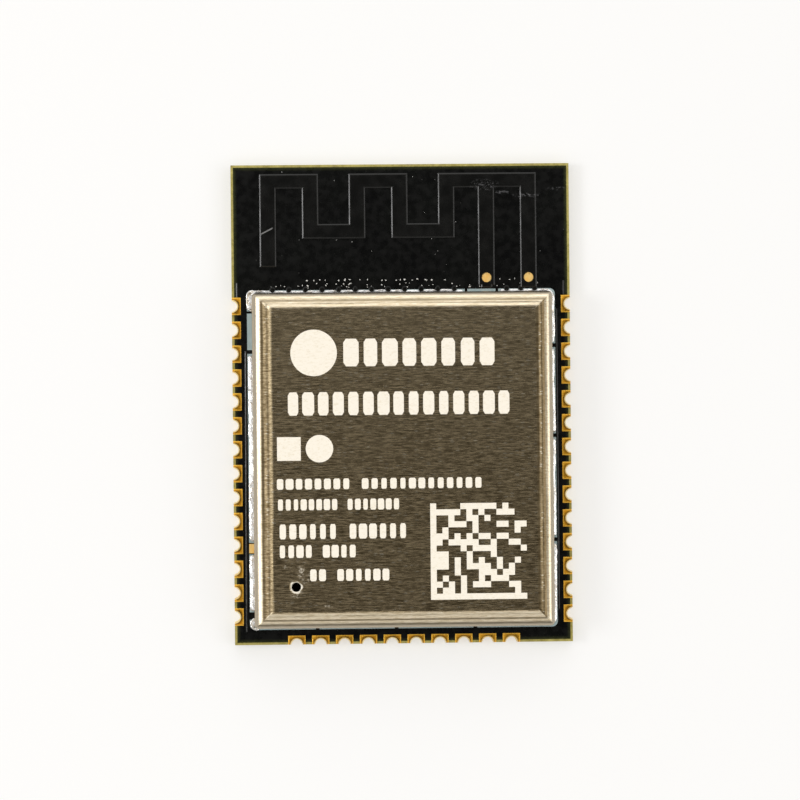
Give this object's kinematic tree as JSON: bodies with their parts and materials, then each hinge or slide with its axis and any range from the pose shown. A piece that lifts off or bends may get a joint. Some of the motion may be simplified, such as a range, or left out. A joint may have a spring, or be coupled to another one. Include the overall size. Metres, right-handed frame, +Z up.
{
  "type": "wifi module",
  "caption": "Castellated surface-mount wifi module: thin black board with a printed meander antenna, gold half-hole pads on three edges and a brushed metal shield can.",
  "frame": {"origin": "middle of the module's underside, on the plane of its lower pads", "axes": "+Z up out of the board through the can, +Y along the board to the antenna end, +X across the board"},
  "size_m": [0.018, 0.0254, 0.0031],
  "materials": {
    "laminate": "woven glass and epoxy, routed edge",
    "solder_mask": "black satin-gloss coating",
    "copper": "bare rolled copper",
    "gold_plating": "thin satin gold plating over nickel",
    "tinned_copper": "tinned copper, slightly uneven",
    "can_sheet": "brushed across its width",
    "solder": "bright reflowed solder",
    "moulding": "fine matt moulding compound",
    "tinned_ends": "satin tin",
    "crystal_ceramic": "matt fired ceramic",
    "capacitor_ceramic": "matt fired ceramic",
    "resistor_coat": "black glazed coat",
    "inductor_ceramic": "pale blue ceramic"
  },
  "bodies": {
    "root": {"board_core": "laminate", "top_solder_mask": "solder_mask", "bottom_solder_mask": "solder_mask", "antenna_track": "copper", "test_points": "gold_plating", "left_castellations": "gold_plating", "right_castellations": "gold_plating", "end_castellations": "gold_plating", "ground_squares": "gold_plating", "shield_land": "tinned_copper", "component_lands": "gold_plating", "shield_can": "can_sheet", "shield_solder": "solder", "processor_body": "moulding", "processor_contacts": "tinned_ends", "memory_body": "moulding", "memory_leads": "tinned_ends", "crystal_base": "crystal_ceramic", "crystal_lid": "tinned_ends", "capacitor_bodies": "capacitor_ceramic", "capacitor_ends": "tinned_ends", "resistor_bodies": "resistor_coat", "resistor_ends": "tinned_ends", "inductor_bodies": "inductor_ceramic", "inductor_ends": "tinned_ends"}
  },
  "joints": []
}
